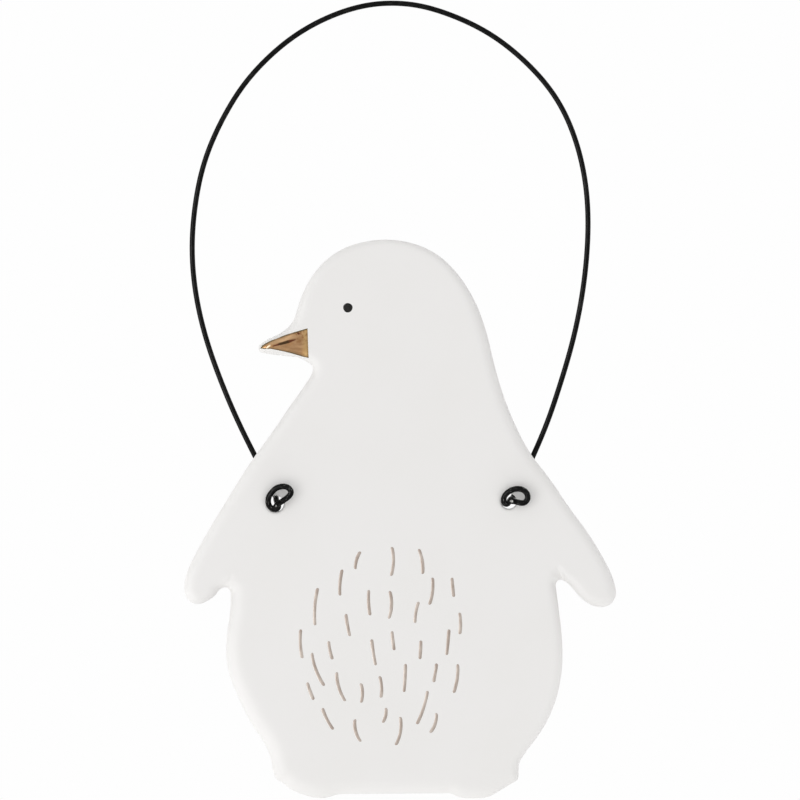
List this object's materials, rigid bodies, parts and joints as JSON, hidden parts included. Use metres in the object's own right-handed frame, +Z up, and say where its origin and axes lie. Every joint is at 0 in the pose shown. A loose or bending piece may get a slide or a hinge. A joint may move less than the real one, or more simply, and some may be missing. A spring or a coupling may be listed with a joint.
{
  "type": "hanging penguin figurine",
  "caption": "Flat porcelain penguin ornament with a gilded beak and feather strokes, hung by its shoulders from a bent black wire arch that it swings on.",
  "frame": {"origin": "the hanging point, on the underside of the wire arch where a hook carries it", "axes": "+Z up, +X to the right as seen from the front, -Y out of the figure's face"},
  "size_m": [0.0867, 0.0098, 0.1596],
  "materials": {
    "bisque_porcelain": "smooth satin bisque porcelain, off-white",
    "black_wire": "satin black coated steel wire with bare cut ends",
    "gold_lustre": "fired-on bronze-gold lustre, semi-gloss",
    "black_enamel": "fired-on black enamel, satin",
    "bronze_lustre": "fired-on bronze-brown lustre strokes"
  },
  "bodies": {
    "hanger": {"hanger_wire": "black_wire"},
    "figure": {"penguin_body": "bisque_porcelain", "beak_gilding": "gold_lustre", "eye_dot": "black_enamel", "belly_feathers": "bronze_lustre"}
  },
  "joints": [
    {"name": "figure_swing", "type": "hinge", "parent": "hanger", "child": "figure", "pos_m": [0, 0, -0.0994], "axis": [1, 0, 0], "range_deg": [0, 15]}
  ]
}
